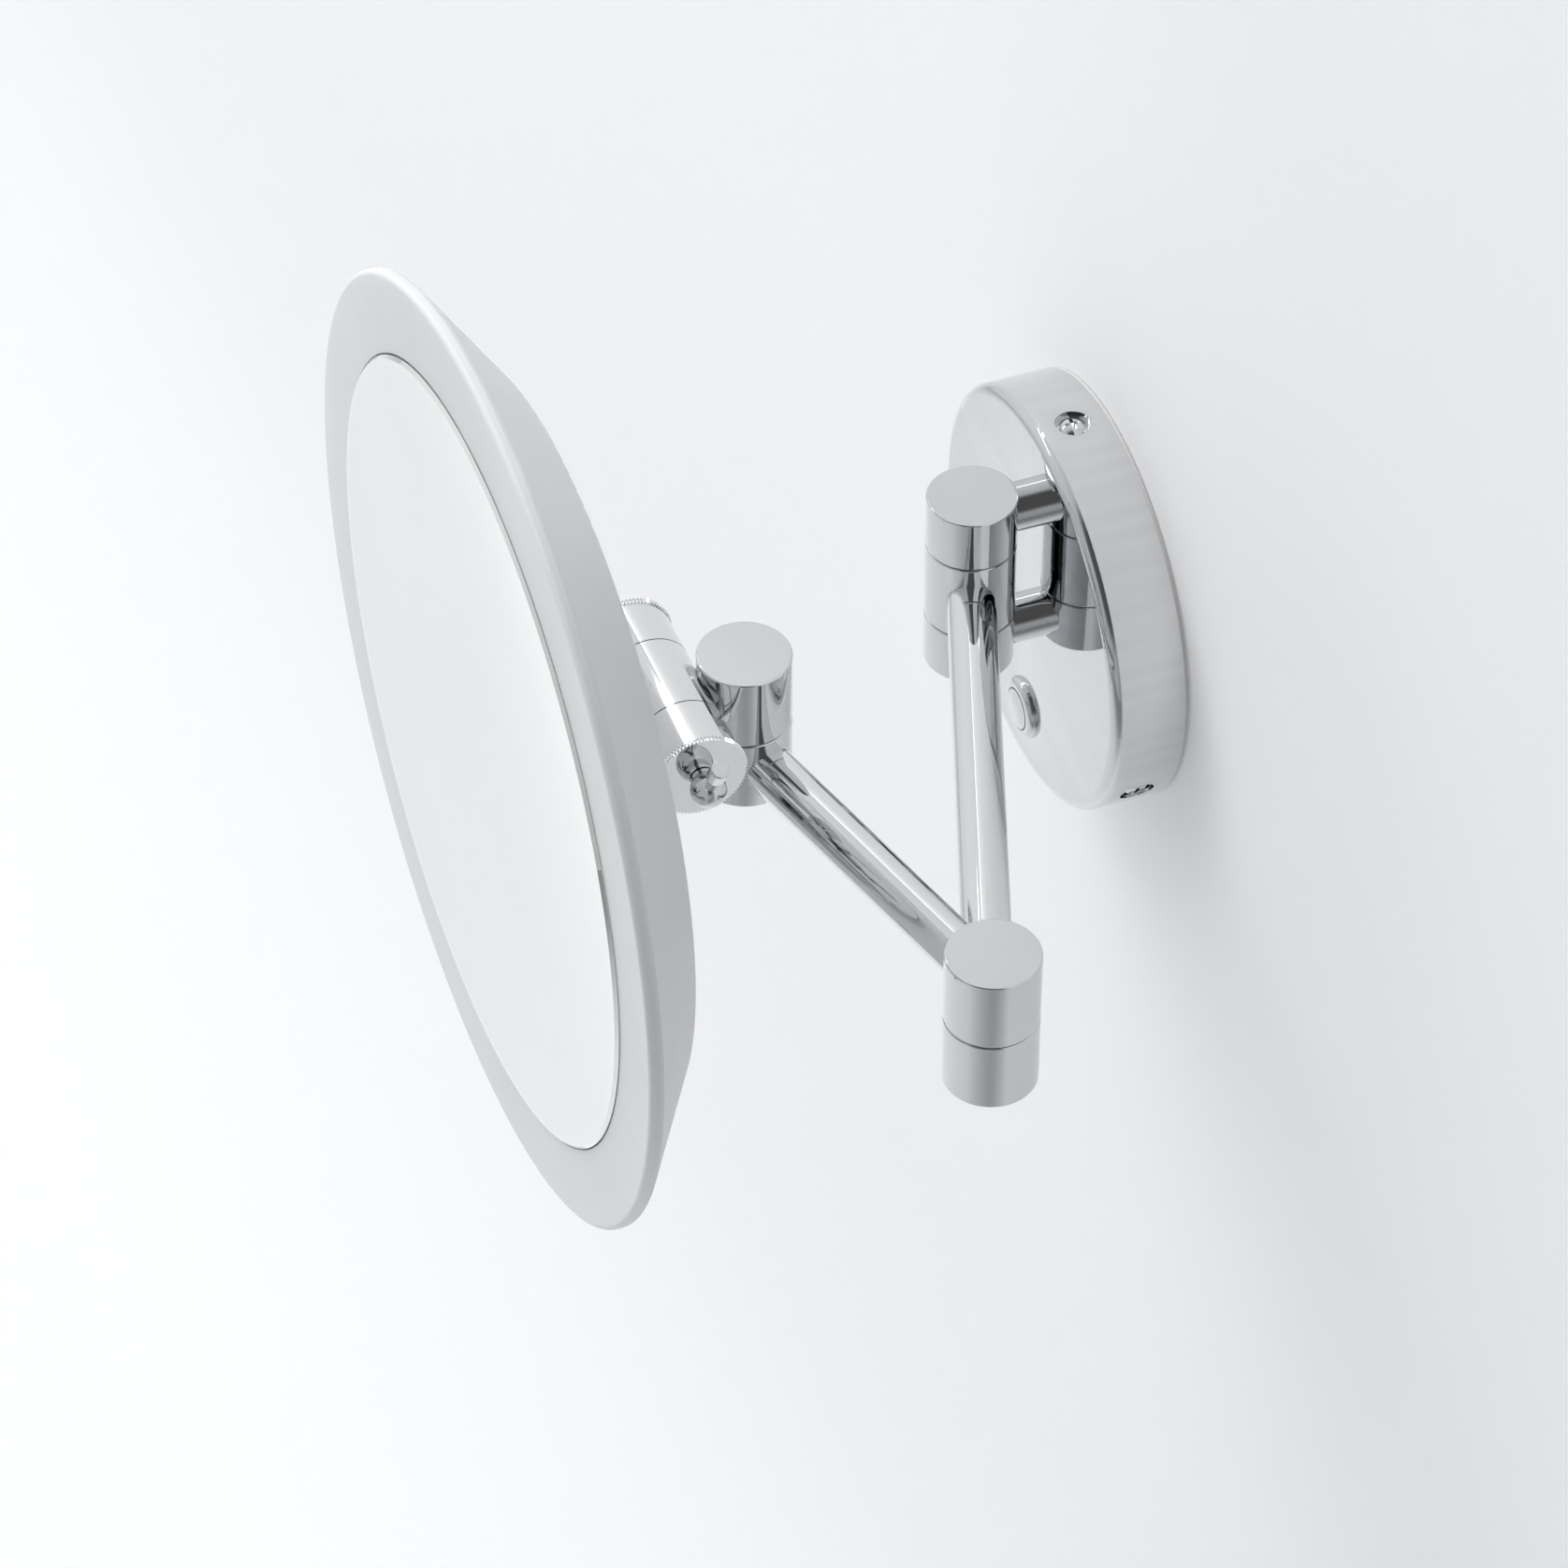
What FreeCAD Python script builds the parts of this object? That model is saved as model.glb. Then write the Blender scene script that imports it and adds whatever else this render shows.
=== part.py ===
import FreeCAD, Part

import math
import os
import re

import Sketcher

# Extendable shaving mirror: a round lit mirror on a swing arm of two parts, with a round wall mount.
# The wall is the plane Y = 0, the mirror faces -Y and +Z is up. The origin is the centre of the back of the
# mounting plate. Lengths are in millimetres and angles in degrees.

Vector = FreeCAD.Vector
Rotation = FreeCAD.Rotation

doc = FreeCAD.newDocument("shaving_mirror")

# ---------------------------------------------------------------- sizes
SIZES = (
    # round wall cover and the mounting plate behind it
    ("cover_dia", 116),
    ("cover_depth", 21),
    ("cover_wall", 1.5),
    ("cover_rounding", 3),
    ("seal_thick", 0.8),
    ("seal_width", 2.6),
    ("seal_inset", 0.3),
    ("plate_inset", 4),
    ("plate_thick", 2.5),
    ("wall_hole_dia", 5),
    ("wall_hole_inset", 10),
    ("cable_hole_dia", 18),
    ("cable_hole_drop", 12),
    ("cable_dia", 8),
    ("grommet_brim", 2),
    ("lug_width", 14),
    ("lug_thick", 4),
    ("stiffener_inset", 10),
    ("stiffener_thick", 2),
    ("driver_width", 54),
    ("driver_height", 23),
    ("driver_thick", 10),
    ("driver_rise", 16.2),
    ("driver_rounding", 2),
    # rim screws in round dimples
    ("rim_screw_depth", 10),
    ("dimple_dia", 9.4),
    ("dimple_depth", 2),
    ("boss_dia", 13),
    ("rim_screw_dia", 3.9),
    ("rim_screw_length", 7),
    ("rim_head_dia", 7),
    ("rim_head_thick", 1.8),
    ("cross_width", 1),
    ("screw_clearance", 0.2),
    # push button
    ("button_inset", 19),
    ("button_travel", 1.5),
    ("button_dia", 11.4),
    ("button_flange", 0.8),
    ("button_flange_thick", 1.6),
    ("button_gap", 0.3),
    ("button_proud", 0.6),
    ("button_curve", 33),
    ("bezel_dia", 17.4),
    ("bezel_height", 2),
    ("bezel_rounding", 1.8),
    ("bezel_neck_dia", 15.4),
    ("nut_dia", 20),
    ("nut_thick", 2.5),
    ("switch_width", 15),
    ("switch_thick", 6.5),
    ("switch_gap", 2),
    ("switch_rounding", 1),
    # upright hinge barrels
    ("knuckle_dia", 24),
    ("edge_rounding", 0.4),
    ("end_margin", 1.2),
    ("middle_length", 23.5),
    ("half_length", 20.5),
    ("cap_thick", 1.8),
    ("seam_gap", 0.3),
    ("running_gap", 0.1),
    ("hinge_reach", 16.6),
    ("hinge_height", 14.2),
    ("pin_dia", 9),
    ("pin_clearance", 0.05),
    ("pin_head_ledge", 2),
    ("pin_head_thick", 2.6),
    ("pin_head_gap", 0.5),
    ("counterbore_depth", 7.5),
    ("plug_thick", 1.5),
    ("bush_wall", 1.75),
    ("washer_gap", 0.4),
    ("washer_dia", 22.4),
    ("spring_sheet", 0.7),
    ("spring_land", 0.4),
    # arms and short rods
    ("rod_dia", 13),
    ("tube_wall", 1.5),
    ("socket_wall", 1.5),
    ("inner_length", 170),
    ("inner_angle", 20.4),
    ("outer_length", 103),
    ("outer_angle", 14.8),
    ("rod_screw_dia", 5),
    ("rod_head_dia", 8.5),
    ("rod_head_thick", 2.8),
    # tilt barrel
    ("yoke_reach", 21.5),
    ("tilt_dia", 23),
    ("tilt_margin", 0.5),
    ("disc_thick", 1.25),
    ("tooth_height", 0.6),
    ("tooth_count", 76),
    ("shaft_dia", 8),
    ("shaft_wall", 2.5),
    ("stud_dia", 4),
    ("joining_stud_dia", 5),
    ("joining_stud_inset", 6),
    # ball knob and lever of the tilt clamp
    ("ball_dia", 9.2),
    ("ball_reach", 4.9),
    ("neck_dia", 6),
    ("stud_past_ball", 1),
    ("lever_seat", 1.4),
    ("lever_length", 16.5),
    ("lever_root_dia", 3.4),
    ("lever_tip_dia", 4.8),
    ("lever_tip_length", 6),
    ("lever_rounding", 0.4),
    # mirror head
    ("glass_dia", 201),
    ("glass_thick", 3),
    ("glass_proud", 1),
    ("glass_bevel", 0.8),
    ("glass_curve", 1000),
    ("glass_gap", 0.4),
    ("seat_width", 4.5),
    ("ring_width", 21),
    ("cone_width", 28),
    ("head_depth", 22),
    ("rim_thick", 3.4),
    ("rim_rounding", 1.4),
    ("back_rounding", 4),
    ("back_lip", 3),
    ("acrylic_wall", 2.8),
    ("back_plate_thick", 2),
    ("back_plate_gap", 0.3),
    ("back_flange_thick", 1),
    ("drum_inset", 7.5),
    ("drum_wall", 1.5),
    ("drum_foot", 8),
    ("drum_clearance", 2),
    ("pad_width", 8),
    ("strip_thick", 0.6),
    ("led_size", 3.5),
    ("led_thick", 0.8),
    ("small_screw_dia", 3),
    ("small_screw_length", 5.5),
    ("small_head_dia", 6),
    ("small_head_thick", 1.8),
    ("cup_dia", 110),
    ("cup_depth", 9.4),
    ("hat_inset", 14.5),
    ("hat_brim", 8),
    ("hat_wall", 2),
)

sheet = doc.addObject("Spreadsheet::Sheet", "Dims")
for row, (alias, size) in enumerate(SIZES, start=1):
    sheet.set(f"A{row}", alias)
    sheet.set(f"B{row}", str(size))
    sheet.setAlias(f"B{row}", alias)
doc.recompute()
ALIASES = {alias for alias, size in SIZES}

# ---------------------------------------------------------------- directions
UP = Rotation()
OUT = Rotation(Vector(1, 0, 0), 90)  # own +Z points to -Y, out of the wall
IN = Rotation(Vector(1, 0, 0), -90)  # own +Z points to +Y, towards the wall
RIGHT = Rotation(Vector(0, 1, 0), 90)  # own +Z points to +X
LEFT = Rotation(Vector(0, 1, 0), -90)  # own +Z points to -X


def spoke(angle):
    """Own +Z points away from a level axis, at an angle from straight up."""
    return Rotation(Vector(0, 1, 0), angle)


# ---------------------------------------------------------------- derived sizes, as expressions
COVER_R = "(cover_dia / 2)"
PLATE_R = "(cover_dia / 2 - plate_inset)"
WALL_HOLE_R = "(cover_dia / 2 - plate_inset - wall_hole_inset)"
BUTTON_Z = "(button_inset - cover_dia / 2)"
BEZEL_NECK = "(cover_depth - plate_thick - switch_gap - switch_thick)"
INNER_FACE = "(cover_depth - cover_wall - stiffener_thick)"

BUSH_DIA = "(pin_dia + 2 * bush_wall)"
HEAD_DIA_OF_PIN = "(pin_dia + 2 * pin_head_ledge)"
COUNTERBORE_R = "(pin_dia / 2 + pin_head_ledge + pin_head_gap)"
SOCKET = f"({COUNTERBORE_R} + socket_wall)"
TILT_SOCKET = "(shaft_dia / 2 + shaft_wall)"
TILT_BUSH_DIA = "(shaft_dia + 2 * bush_wall)"

END = "(rod_dia + 2 * end_margin)"
TILT_END = "(rod_dia + 2 * tilt_margin)"
TILT_HALF = f"(middle_length / 2 + seam_gap + {TILT_END})"
WALL_ROD_RISE = f"(middle_length / 2 + seam_gap + {END} / 2)"
HEAD_ROD_SIDE = f"(middle_length / 2 + seam_gap + {TILT_END} / 2)"

HINGE_Y = "(-cover_depth - hinge_reach)"
BARREL_LOW = f"(hinge_height - middle_length / 2 - seam_gap - {END})"
MIDDLE_LOW = "(hinge_height - middle_length / 2)"
TOP_LOW = "(hinge_height + middle_length / 2 + seam_gap)"
HALF_LOW = "(hinge_height - half_length / 2)"
OUTER_Z = "(hinge_height + half_length + seam_gap)"
HEAD_Z = "(hinge_height + 2 * half_length + 2 * seam_gap)"
ELBOW_X = "(inner_length * cos(inner_angle))"
ELBOW_Y = f"({HINGE_Y} - inner_length * sin(inner_angle))"
WRIST_X = f"({ELBOW_X} - outer_length * cos(outer_angle))"
WRIST_Y = f"({ELBOW_Y} - outer_length * sin(outer_angle))"
TILT_Y = f"({WRIST_Y} - yoke_reach)"
BACK_Y = f"({TILT_Y} - hinge_reach - cup_depth)"
FRONT_Y = f"({BACK_Y} - head_depth)"

ELBOW = (ELBOW_X, ELBOW_Y)
WRIST = (WRIST_X, WRIST_Y)
TILT = (WRIST_X, TILT_Y, HEAD_Z)
HEAD_BACK = (WRIST_X, BACK_Y, HEAD_Z)
HEAD_FRONT = (WRIST_X, FRONT_Y, HEAD_Z)

GLASS_R = "(glass_dia / 2)"
SEAT_R = "(glass_dia / 2 + glass_gap - seat_width)"
HEAD_R = "(glass_dia / 2 + ring_width)"
BACK_R = "(glass_dia / 2 + ring_width - cone_width)"
DRUM_R = "(glass_dia / 2 + ring_width - cone_width - drum_inset)"
SLOPE = "(cone_width / (head_depth - rim_thick))"
CONE_SHIFT = f"(acrylic_wall * sqrt(1 + {SLOPE}^2))"
LEDGE_R = f"({BACK_R} + {SLOPE} * acrylic_wall - {CONE_SHIFT})"
BACK_PLATE_R = f"({BACK_R} - back_lip - back_plate_gap)"
PLATE_FRONT = "(head_depth - back_plate_thick)"
HAT_R = "(cup_dia / 2 - hat_inset)"


def sag(radius):
    """How far the slumped glass falls back at its centre below a circle of this radius."""
    return f"(glass_curve - sqrt(glass_curve^2 - ({radius})^2))"


SEAT_DEPTH = "(glass_thick - glass_proud)"
DRUM_DEPTH = f"({SEAT_DEPTH} + {sag(SEAT_R)} + drum_clearance)"


# ---------------------------------------------------------------- helpers
def bound(expression):
    """The expression with each size's name pointing at its cell."""
    return re.sub(r"[a-z_]+", lambda word: "Dims." + word[0] if word[0] in ALIASES else word[0], expression)


def number(expression):
    return float(sheet.evalExpression(bound(expression)))


def drive(item, setting, expression):
    """Bind one property to an expression of the sheet."""
    item.setExpression(setting, bound(expression))


def place(item, at, turn=UP):
    """Put an object at a point. The turn is a fixed rotation, or an expression for a turn about +Z."""
    swings = isinstance(turn, str)
    start = Rotation(Vector(0, 0, 1), number(turn)) if swings else turn
    item.Placement = FreeCAD.Placement(Vector(*(number(size) for size in at)), start)
    for letter, size in zip("xyz", at):
        if size != "0":
            drive(item, "Placement.Base." + letter, size)
    if swings:
        drive(item, "Placement.Rotation.Angle", turn)
    return item


def round_place(angle, radius, y, centre=("0", "0"), across="0"):
    """A point on a circle about a level axis, at an angle from straight up."""
    side, rise = math.sin(math.radians(angle)), math.cos(math.radians(angle))
    x = f"{centre[0]} + {side:.9f} * ({radius}) + {rise:.9f} * ({across})"
    z = f"{centre[1]} + {rise:.9f} * ({radius}) - {side:.9f} * ({across})"
    return (x, y, z)


def bar(dia, length, at, turn=UP):
    """A round bar from a point along its own +Z."""
    item = doc.addObject("Part::Cylinder", "bar")
    drive(item, "Radius", f"({dia}) / 2")
    drive(item, "Height", length)
    return place(item, at, turn)


def block(width, depth, height, at, turn=UP):
    """A block with its lowest corner at a point."""
    item = doc.addObject("Part::Box", "block")
    drive(item, "Length", width)
    drive(item, "Width", depth)
    drive(item, "Height", height)
    return place(item, at, turn)


def fused(*pieces):
    item = doc.addObject("Part::MultiFuse", "fused")
    item.Shapes = list(pieces)
    return item


def cut(base, *tools):
    item = doc.addObject("Part::Cut", "cut")
    item.Base = base
    item.Tool = tools[0] if len(tools) == 1 else fused(*tools)
    return item


def group(pieces):
    """Separate solids that share one name."""
    item = doc.addObject("Part::Compound", "group")
    item.Links = list(pieces)
    return item


def outline_sketch(body, role, corners):
    """A closed outline on one of the body's own planes, with every corner bound to the sheet.

    A corner is (across, along). A corner (across, along, radius, side) starts an arc to the next corner, which
    bulges to the left (side 1) or the right (side -1) of its chord.
    """
    sketch = body.newObject("Sketcher::SketchObject", "outline")
    plane = [item for item in body.Origin.OriginFeatures if item.Role == role][0]
    sketch.AttachmentSupport = [(plane, "")]
    sketch.MapMode = "FlatFace"
    points = [Vector(number(corner[0]), number(corner[1]), 0) for corner in corners]
    ends = []
    for index, corner in enumerate(corners):
        start, stop = points[index], points[(index + 1) % len(points)]
        if len(corner) == 2:
            sketch.addGeometry(Part.LineSegment(start, stop), False)
            ends.append((1, 2))
            continue
        radius = number(corner[2])
        chord = stop - start
        rise = radius - math.sqrt(radius**2 - (chord.Length / 2) ** 2)
        left = Vector(-chord.y, chord.x, 0).normalize()
        middle = (start + stop) / 2 + left * rise * corner[3]
        sketch.addGeometry(Part.Arc(start, middle, stop), False)
        forward = (sketch.getPoint(index, 1) - start).Length < 1e-6
        ends.append((1, 2) if forward else (2, 1))
    for index in range(len(corners)):
        after = (index + 1) % len(corners)
        sketch.addConstraint(Sketcher.Constraint("Coincident", index, ends[index][1], after, ends[after][0]))
    for index, corner in enumerate(corners):
        held = [
            ("DistanceX", corner[0], points[index].x),
            ("DistanceY", corner[1], points[index].y),
        ]
        for kind, size, value in held:
            constraint = sketch.addConstraint(Sketcher.Constraint(kind, index, ends[index][0], value))
            drive(sketch, f"Constraints[{constraint}]", size)
        if len(corner) == 4:
            constraint = sketch.addConstraint(Sketcher.Constraint("Radius", index, number(corner[2])))
            drive(sketch, f"Constraints[{constraint}]", corner[2])
    return sketch


def rounded(body, last, edges, rounding):
    fillet = body.newObject("PartDesign::Fillet", "rounded")
    fillet.Base = (last, edges)
    drive(fillet, "Radius", rounding)
    return fillet


def turned(corners, at, turn=UP, rounds=()):
    """A piece turned about its own Z, from corners (radius, height).

    Each of rounds is (radius, height, rounding) and rounds the circular edge found there.
    """
    body = doc.addObject("PartDesign::Body", "turned")
    last = body.newObject("PartDesign::Revolution", "spin")
    last.Profile = outline_sketch(body, "XZ_Plane", corners)
    last.ReferenceAxis = (last.Profile[0], ["V_Axis"])
    last.Angle = 360
    for radius, height, rounding in rounds:
        doc.recompute()
        wanted = (number(radius), number(height))
        edges = []
        for index, edge in enumerate(last.Shape.Edges, start=1):
            if edge.Curve.TypeId == "Part::GeomCircle":
                if math.dist(wanted, (edge.Curve.Radius, edge.Curve.Center.z)) < 1e-4:
                    edges.append(f"Edge{index}")
        last = rounded(body, last, edges, rounding)
    return place(body, at, turn)


def level_tube(bore, dia, start, stop, at, turn):
    """A tube about its own X, between two distances from a point."""
    body = doc.addObject("PartDesign::Body", "tube")
    inner, outer = f"({bore}) / 2", f"({dia}) / 2"
    spin = body.newObject("PartDesign::Revolution", "spin")
    corners = [(start, inner), (stop, inner), (stop, outer), (start, outer)]
    spin.Profile = outline_sketch(body, "XZ_Plane", corners)
    spin.ReferenceAxis = (spin.Profile[0], ["H_Axis"])
    spin.Angle = 360
    return place(body, at, turn)


def ring(bore, dia, low, high, at, turn=UP):
    inner, outer = f"({bore}) / 2", f"({dia}) / 2"
    return turned([(inner, low), (outer, low), (outer, high), (inner, high)], at, turn)


def disc(dia, low, high, at, turn=UP):
    return ring("0", dia, low, high, at, turn)


def rounded_block(width, height, thick, rounding, at, turn=UP):
    """A block centred on its own Z, with the four edges along Z rounded."""
    body = doc.addObject("PartDesign::Body", "block")
    side, top = f"({width}) / 2", f"({height}) / 2"
    corners = [("-" + side, "-" + top), (side, "-" + top), (side, top), ("-" + side, top)]
    pad = body.newObject("PartDesign::Pad", "pad")
    pad.Profile = outline_sketch(body, "XY_Plane", corners)
    drive(pad, "Length", thick)
    doc.recompute()
    upright = []
    for index, edge in enumerate(pad.Shape.Edges, start=1):
        if abs(edge.tangentAt(edge.FirstParameter).z) > 0.99:
            upright.append(f"Edge{index}")
    rounded(body, pad, upright, rounding)
    return place(body, at, turn)


def screw(shank_dia, length, head_dia, head_thick, at, turn):
    """A pan-head screw with a cross recess. Its head stands on its own Z = 0, with the shank below."""
    head, shank = f"(({head_dia}) / 2)", f"(({shank_dia}) / 2)"
    corners = [
        ("0", f"-({length})"),
        (shank, f"-({length})"),
        (shank, "0"),
        (head, "0"),
        (head, f"0.4 * ({head_thick})", f"0.6 * ({head_dia})", -1),
        (f"0.5 * {head}", head_thick),
        ("0", head_thick),
    ]
    span = f"(0.6 * ({head_dia}))"
    low = f"0.45 * ({head_thick})"
    blank = turned(corners, ("0", "0", "0"))
    slots = [
        block(span, "cross_width", head_thick, (f"-{span} / 2", "-cross_width / 2", low)),
        block("cross_width", span, head_thick, ("-cross_width / 2", f"-{span} / 2", low)),
    ]
    return place(cut(blank, *slots), at, turn)


def cup(dia, depth, at, turn):
    """A round cover: open at its own Z = 0, with a rounded flat face at the other end."""
    outer, inner = f"({dia}) / 2", f"({dia}) / 2 - cover_wall"
    corners = [
        ("0", f"{depth} - cover_wall"),
        (inner, f"{depth} - cover_wall"),
        (inner, "0"),
        (outer, "0"),
        (outer, depth),
        ("0", depth),
    ]
    rounds = [
        (outer, depth, "cover_rounding"),
        (inner, f"{depth} - cover_wall", "cover_rounding - cover_wall"),
    ]
    return turned(corners, at, turn, rounds)


def lower_knuckle(length, bore, at):
    """A barrel section with a counterbore below it for the pin's head."""
    corners = [
        (f"({bore}) / 2", "counterbore_depth"),
        (COUNTERBORE_R, "counterbore_depth"),
        (COUNTERBORE_R, "0"),
        ("knuckle_dia / 2", "0"),
        ("knuckle_dia / 2", length),
        (f"({bore}) / 2", length),
    ]
    rounds = [("knuckle_dia / 2", "0", "edge_rounding"), ("knuckle_dia / 2", length, "edge_rounding")]
    return turned(corners, at, UP, rounds)


def upper_knuckle(length, at):
    """A barrel section with a closed flat top, and a blind bore from below for the pin."""
    blind = f"{length} - cap_thick"
    corners = [
        ("pin_dia / 2", "0"),
        ("knuckle_dia / 2", "0"),
        ("knuckle_dia / 2", length),
        ("0", length),
        ("0", blind),
        ("pin_dia / 2", blind),
    ]
    rounds = [("knuckle_dia / 2", "0", "edge_rounding"), ("knuckle_dia / 2", length, "edge_rounding")]
    return turned(corners, at, UP, rounds)


def hinge_pin(head_low, top, at):
    corners = [
        ("0", head_low),
        (f"{HEAD_DIA_OF_PIN} / 2", head_low),
        (f"{HEAD_DIA_OF_PIN} / 2", f"{head_low} + pin_head_thick"),
        ("pin_dia / 2", f"{head_low} + pin_head_thick"),
        ("pin_dia / 2", top),
        ("0", top),
    ]
    return turned(corners, at)


def disc_springs(low, at):
    """A pair of coned washers, outer edge to outer edge, below the counterbore's floor."""
    inner = "(pin_dia / 2 + washer_gap)"
    outer = f"({COUNTERBORE_R} - washer_gap)"
    middle = f"(({low} + counterbore_depth) / 2)"
    lower = [
        (inner, low),
        (outer, f"{middle} - spring_sheet"),
        (outer, middle),
        (f"{outer} - spring_land", middle),
        (inner, f"{low} + spring_sheet"),
    ]
    upper = [
        (inner, "counterbore_depth - spring_sheet"),
        (f"{outer} - spring_land", middle),
        (outer, middle),
        (outer, f"{middle} + spring_sheet"),
        (f"{inner} + spring_land", "counterbore_depth"),
        (inner, "counterbore_depth"),
    ]
    return group([turned(lower, at), turned(upper, at)])


def seam_washer(shaft, low, at, turn=UP):
    """A thin slip washer in a seam, thinner than the seam by the running gap."""
    return ring(f"{shaft} + 2 * washer_gap", "washer_dia", low, f"{low} + seam_gap - running_gap", at, turn)


def swivel_lower(prefix, centre, low, turn):
    """The lower half of an elbow barrel, with what stays in it. The arm tube stands in its side."""
    at = (*centre, low)
    knuckle = lower_knuckle("half_length", BUSH_DIA, at)
    side = level_tube("0", "rod_dia", SOCKET, "knuckle_dia", (*centre, f"{low} + half_length / 2"), turn)
    keep(prefix + "_knuckle_lower", cut(knuckle, side))
    bush_bore = "pin_dia + 2 * pin_clearance"
    keep(prefix + "_bush", ring(bush_bore, BUSH_DIA, "counterbore_depth", "half_length", at))
    keep(prefix + "_disc_springs", disc_springs(f"({PIN_HEAD_LOW} + pin_head_thick + running_gap)", at))
    keep(prefix + "_seam_washer", seam_washer("pin_dia", "half_length", at))
    keep(prefix + "_plug", disc(f"2 * {COUNTERBORE_R}", "0", "plug_thick", at))


def keep(label, item):
    """Name a finished sub-part."""
    item.Label = label
    nodes[label] = item
    return item


nodes = {}
PIN_HEAD_LOW = "(plug_thick + 3 * running_gap)"

# ---------------------------------------------------------------- wall mount
THIRDS = (0, 120, 240)
lugs = []
threads = []
bosses = []
dimples = []
rim_screws = []
for angle in THIRDS:
    reach = "rim_screw_depth + boss_dia / 2"
    at = round_place(angle, f"{PLATE_R} - lug_thick", f"-({reach})", across="-lug_width / 2")
    lugs.append(block("lug_width", f"{reach} - plate_thick", "lug_thick", at, spoke(angle)))
    inside = round_place(angle, f"{PLATE_R} - 2 * lug_thick", "-rim_screw_depth")
    threads.append(bar("rim_screw_dia", "3 * lug_thick", inside, spoke(angle)))
    foot = round_place(angle, PLATE_R, "-rim_screw_depth")
    bosses.append(bar("boss_dia", "plate_inset - cover_wall / 2", foot, spoke(angle)))
    floor = round_place(angle, f"{COVER_R} - dimple_depth", "-rim_screw_depth")
    dimples.append(bar("dimple_dia", "2 * dimple_depth", floor, spoke(angle)))
    loose_hole = "rim_screw_dia + 2 * screw_clearance"
    dimples.append(bar(loose_hole, "2 * lug_thick + plate_inset", inside, spoke(angle)))
    rim_screws.append(
        screw("rim_screw_dia", "rim_screw_length", "rim_head_dia", "rim_head_thick", floor, spoke(angle))
    )

wall_holes = [
    bar("wall_hole_dia", "2 * plate_thick", round_place(angle, WALL_HOLE_R, "plate_thick / 2"), OUT)
    for angle in (90, 210, 330)
]
cable_at = ("0", "0", "-cable_hole_drop")
cable_hole = bar("cable_hole_dia", "2 * plate_thick", ("0", "plate_thick / 2", "-cable_hole_drop"), OUT)
base_disc = bar(f"2 * {PLATE_R}", "plate_thick", ("0", "0", "0"), OUT)
keep("mounting_plate", cut(fused(base_disc, *lugs), *wall_holes, cable_hole, *threads))

grommet = [
    ("cable_dia / 2", "0"),
    ("cable_hole_dia / 2", "0"),
    ("cable_hole_dia / 2", "plate_thick"),
    ("cable_hole_dia / 2 + grommet_brim", "plate_thick"),
    ("cable_hole_dia / 2 + grommet_brim", "plate_thick + grommet_brim / 2"),
    ("cable_dia / 2", "plate_thick + grommet_brim"),
]
keep("cable_grommet", turned(grommet, cable_at, OUT))

seal_dia = "cover_dia - 2 * seal_inset"
keep("wall_seal", ring(f"{seal_dia} - 2 * seal_width", seal_dia, "0", "seal_thick", ("0", "0", "0"), OUT))

driver_at = ("0", "-plate_thick", "driver_rise")
driver = rounded_block("driver_width", "driver_height", "driver_thick", "driver_rounding", driver_at, OUT)
keep("led_driver", driver)

rod_heights = [f"(hinge_height + {side} * {WALL_ROD_RISE})" for side in ("1", "-1")]
bracket_bite = f"(0.7 * (hinge_reach - {SOCKET}))"


def wall_openings():
    """Tools for the openings that the cover and its stiffener share."""
    neck = "bezel_neck_dia + 2 * screw_clearance"
    tools = [bar(neck, "cover_depth", ("0", "-cover_depth / 2", BUTTON_Z), OUT)]
    for height in rod_heights:
        hole = "rod_screw_dia + 2 * screw_clearance"
        tools.append(bar(hole, "cover_depth", ("0", "-cover_depth / 2", height), OUT))
    return tools


shell = cup("cover_dia", "(cover_depth - seal_thick)", ("0", "-seal_thick", "0"), OUT)
keep("wall_cover", cut(fused(shell, *bosses), *dimples, *wall_openings()))
keep("rim_screws", group(rim_screws))

stiffener_at = ("0", f"-{INNER_FACE}", "0")
stiffener = bar("cover_dia - 2 * stiffener_inset", "stiffener_thick", stiffener_at, OUT)
keep("cover_stiffener", cut(stiffener, *wall_openings()))

rods = []
bracket_screws = []
for height in rod_heights:
    foot = ("0", "-cover_depth", height)
    rod = bar("rod_dia", f"hinge_reach - {SOCKET}", foot, OUT)
    rods.append(cut(rod, bar("rod_screw_dia", f"{bracket_bite} + 0.5", foot, OUT)))
    length = f"cover_wall + stiffener_thick + {bracket_bite}"
    under = ("0", f"-{INNER_FACE}", height)
    bracket_screws.append(screw("rod_screw_dia", length, "rod_head_dia", "rod_head_thick", under, IN))
keep("bracket_rods", group(rods))
keep("bracket_screws", group(bracket_screws))

low_at = ("0", HINGE_Y, BARREL_LOW)
top_at = ("0", HINGE_Y, TOP_LOW)
sides = [bar("rod_dia", "knuckle_dia", ("0", f"{HINGE_Y} + {SOCKET}", height), IN) for height in rod_heights]
keep("wall_knuckle_top", cut(upper_knuckle(END, top_at), sides[0]))
keep("wall_knuckle_bottom", cut(lower_knuckle(END, "pin_dia", low_at), sides[1]))
pin_top = f"2 * {END} + middle_length + 2 * seam_gap - cap_thick - running_gap"
keep("wall_hinge_pin", hinge_pin("(counterbore_depth - pin_head_thick)", pin_top, low_at))
keep("wall_barrel_plug", disc(f"2 * {COUNTERBORE_R}", "0", "plug_thick", low_at))
upper_washer_low = f"({END} + middle_length + seam_gap + running_gap)"
wall_washers = [seam_washer("pin_dia", END, low_at), seam_washer("pin_dia", upper_washer_low, low_at)]
keep("wall_seam_washers", group(wall_washers))

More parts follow.
